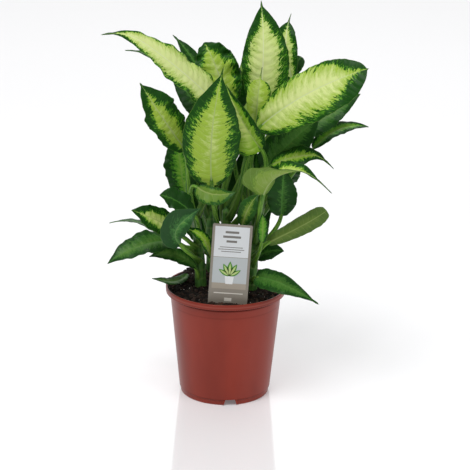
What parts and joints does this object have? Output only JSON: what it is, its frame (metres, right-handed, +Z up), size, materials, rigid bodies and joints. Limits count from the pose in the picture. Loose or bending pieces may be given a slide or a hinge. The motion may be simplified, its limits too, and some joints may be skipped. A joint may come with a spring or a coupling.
{
  "type": "potted dieffenbachia",
  "caption": "Bushy variegated dieffenbachia with broad pointed leaves on upright stems, in a tapered plastic nursery pot of soil with a plain plant label.",
  "frame": {"origin": "middle of the pot's base, on the surface that the pot stands on", "axes": "+Z up the plant, -Y towards the front that the picture shows, +X to that view's right"},
  "size_m": [0.2555, 0.2083, 0.3933],
  "materials": {
    "pot_plastic": "satin",
    "potting_soil": "matte",
    "label_plastic": "satin",
    "stem_green": "satin",
    "leaf_green": "satin"
  },
  "bodies": {
    "root": {"pot": "pot_plastic", "soil": "potting_soil", "plant_label": "label_plastic", "stem_1": "stem_green", "stem_2": "stem_green", "stem_3": "stem_green", "stem_4": "stem_green", "stem_5": "stem_green", "leaf_01": "leaf_green", "leaf_02": "leaf_green", "leaf_03": "leaf_green", "leaf_04": "leaf_green", "leaf_05": "leaf_green", "leaf_06": "leaf_green", "leaf_07": "leaf_green", "leaf_08": "leaf_green", "leaf_09": "leaf_green", "leaf_10": "leaf_green", "leaf_11": "leaf_green", "leaf_12": "leaf_green", "leaf_13": "leaf_green", "leaf_14": "leaf_green", "leaf_15": "leaf_green", "leaf_16": "leaf_green", "leaf_17": "leaf_green", "leaf_18": "leaf_green", "leaf_19": "leaf_green", "leaf_20": "leaf_green", "leaf_21": "leaf_green", "leaf_22": "leaf_green", "leaf_23": "leaf_green", "leaf_24": "leaf_green", "leaf_25": "leaf_green", "leaf_26": "leaf_green", "leaf_27": "leaf_green", "leaf_28": "leaf_green", "leaf_29": "leaf_green", "leaf_30": "leaf_green", "leaf_31": "leaf_green", "leaf_32": "leaf_green", "leaf_33": "leaf_green", "leaf_34": "leaf_green", "leaf_35": "leaf_green", "leaf_36": "leaf_green", "leaf_37": "leaf_green", "leaf_38": "leaf_green", "leaf_39": "leaf_green", "leaf_40": "leaf_green", "leaf_41": "leaf_green", "leaf_42": "leaf_green", "leaf_43": "leaf_green", "leaf_44": "leaf_green", "leaf_45": "leaf_green", "leaf_46": "leaf_green"}
  },
  "joints": []
}
